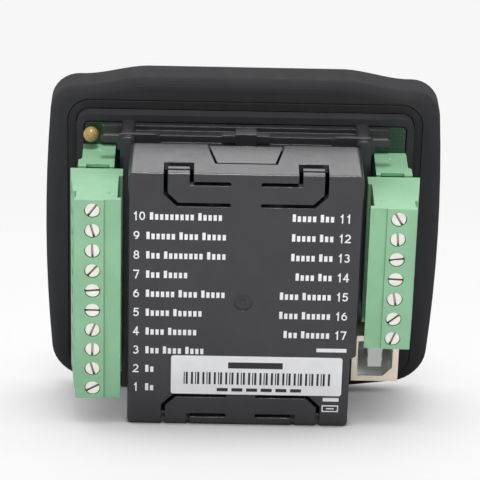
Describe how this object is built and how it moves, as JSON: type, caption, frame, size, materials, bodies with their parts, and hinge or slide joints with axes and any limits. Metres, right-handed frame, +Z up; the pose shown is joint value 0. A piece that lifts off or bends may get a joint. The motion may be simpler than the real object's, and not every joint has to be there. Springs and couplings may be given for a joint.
{
  "type": "genset controller",
  "caption": "Panel-mounted genset controller with a browed front frame, display and push keys, a clip-on rear cover, pluggable screw terminals on both sides and a square port.",
  "frame": {"origin": "centre of the panel cut-out, in the plane where the frame's rim bears on the panel's front", "axes": "+Z up, +Y out of the back of the panel towards the rear cover, display and keys face -Y"},
  "size_m": [0.0934, 0.0435, 0.0827],
  "materials": {
    "frame_plastic": "fine satin texture",
    "cover_plastic": "satin black",
    "gasket_rubber": "soft matte",
    "lens_clear": "clear, polished",
    "display_glass": "smooth glass",
    "backlight_white": "satin white",
    "ribbon_amber": "satin film",
    "key_red": "satin",
    "key_grey": "satin",
    "key_green": "satin",
    "switch_grey": "satin",
    "plunger_black": "satin",
    "lamp_red": "tinted, clear",
    "board_green": "solder mask gloss",
    "label_white": "satin film",
    "terminal_green": "satin moulded",
    "contact_tin": "tin plated",
    "screw_zinc": "zinc plated",
    "clamp_tin": "tin plated",
    "port_nickel": "nickel plated",
    "port_plastic": "satin",
    "bead_gold": "dipped resin",
    "part_black": "satin",
    "part_blue": "satin",
    "can_aluminium": "drawn can"
  },
  "bodies": {
    "housing": {"front_frame": "frame_plastic", "panel_gasket": "gasket_rubber", "lens_window": "lens_clear", "lcd_glass": "display_glass", "lcd_backlight": "backlight_white", "lcd_ribbon": "ribbon_amber", "key_switches": "switch_grey", "status_leds": "lamp_red", "main_board": "board_green", "rear_cover": "cover_plastic", "label": "label_white", "header_ten": "terminal_green", "header_seven": "terminal_green", "header_ten_pins": "contact_tin", "header_seven_pins": "contact_tin", "usb_shell": "port_nickel", "usb_insulator": "port_plastic", "usb_contacts": "contact_tin", "bead_capacitor": "bead_gold", "output_relays": "part_black", "bulk_capacitors": "part_blue", "power_inductor": "part_black", "microcontroller": "part_black", "crystal": "can_aluminium", "sense_transformer": "part_black", "surge_varistor": "part_blue"},
    "stop_button": {"stop_key": "key_red", "stop_plunger": "plunger_black"},
    "mode_button": {"mode_key": "key_grey", "mode_plunger": "plunger_black"},
    "page_button": {"page_key": "key_grey", "page_plunger": "plunger_black"},
    "start_button": {"start_key": "key_green", "start_plunger": "plunger_black"},
    "ten_way_plug": {"plug_ten": "terminal_green", "plug_ten_screws": "screw_zinc", "plug_ten_clamps": "clamp_tin", "plug_ten_contacts": "contact_tin"},
    "seven_way_plug": {"plug_seven": "terminal_green", "plug_seven_screws": "screw_zinc", "plug_seven_clamps": "clamp_tin", "plug_seven_contacts": "contact_tin"}
  },
  "joints": [
    {"name": "stop_press", "type": "slide", "parent": "housing", "child": "stop_button", "axis": [0, 1, 0], "range_m": [0, 0.0008], "stiffness_N_per_m": 1500},
    {"name": "mode_press", "type": "slide", "parent": "housing", "child": "mode_button", "axis": [0, 1, 0], "range_m": [0, 0.0008], "stiffness_N_per_m": 1500},
    {"name": "page_press", "type": "slide", "parent": "housing", "child": "page_button", "axis": [0, 1, 0], "range_m": [0, 0.0008], "stiffness_N_per_m": 1500},
    {"name": "start_press", "type": "slide", "parent": "housing", "child": "start_button", "axis": [0, 1, 0], "range_m": [0, 0.0008], "stiffness_N_per_m": 1500},
    {"name": "ten_plug_pull", "type": "slide", "parent": "housing", "child": "ten_way_plug", "axis": [0, 1, 0], "range_m": [0, 0.012]},
    {"name": "seven_plug_pull", "type": "slide", "parent": "housing", "child": "seven_way_plug", "axis": [0, 1, 0], "range_m": [0, 0.012]}
  ]
}
